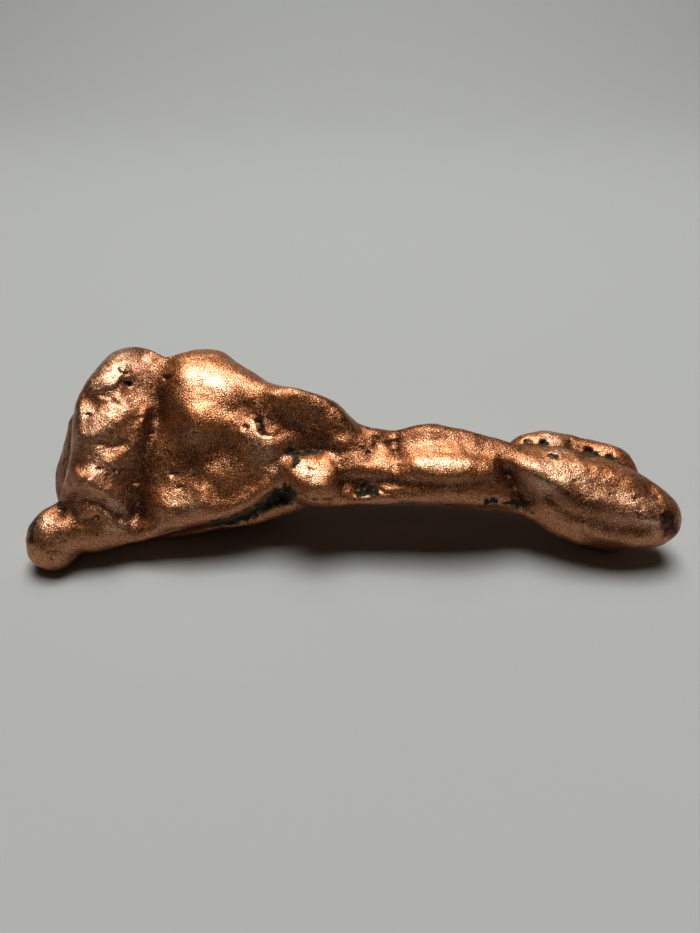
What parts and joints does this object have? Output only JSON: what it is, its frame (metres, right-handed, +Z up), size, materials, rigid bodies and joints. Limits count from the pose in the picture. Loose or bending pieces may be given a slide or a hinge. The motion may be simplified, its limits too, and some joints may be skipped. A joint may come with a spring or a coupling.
{
  "type": "native copper nugget",
  "caption": "Solid water-worn nugget of native copper with a leaning double-lobed blade, a narrow neck and a paw-like end, for display.",
  "frame": {"origin": "middle of the footprint on the table, under the centre of the bounding box", "axes": "+X along the nugget from the blade and toe towards the paw, +Y away from the blade's face, +Z up"},
  "size_m": [0.1048, 0.0302, 0.0283],
  "materials": {
    "native_copper": "bare native copper, rubbed to a soft uneven shine, brown in the hollows"
  },
  "bodies": {
    "root": {"copper_nugget": "native_copper"}
  },
  "joints": []
}
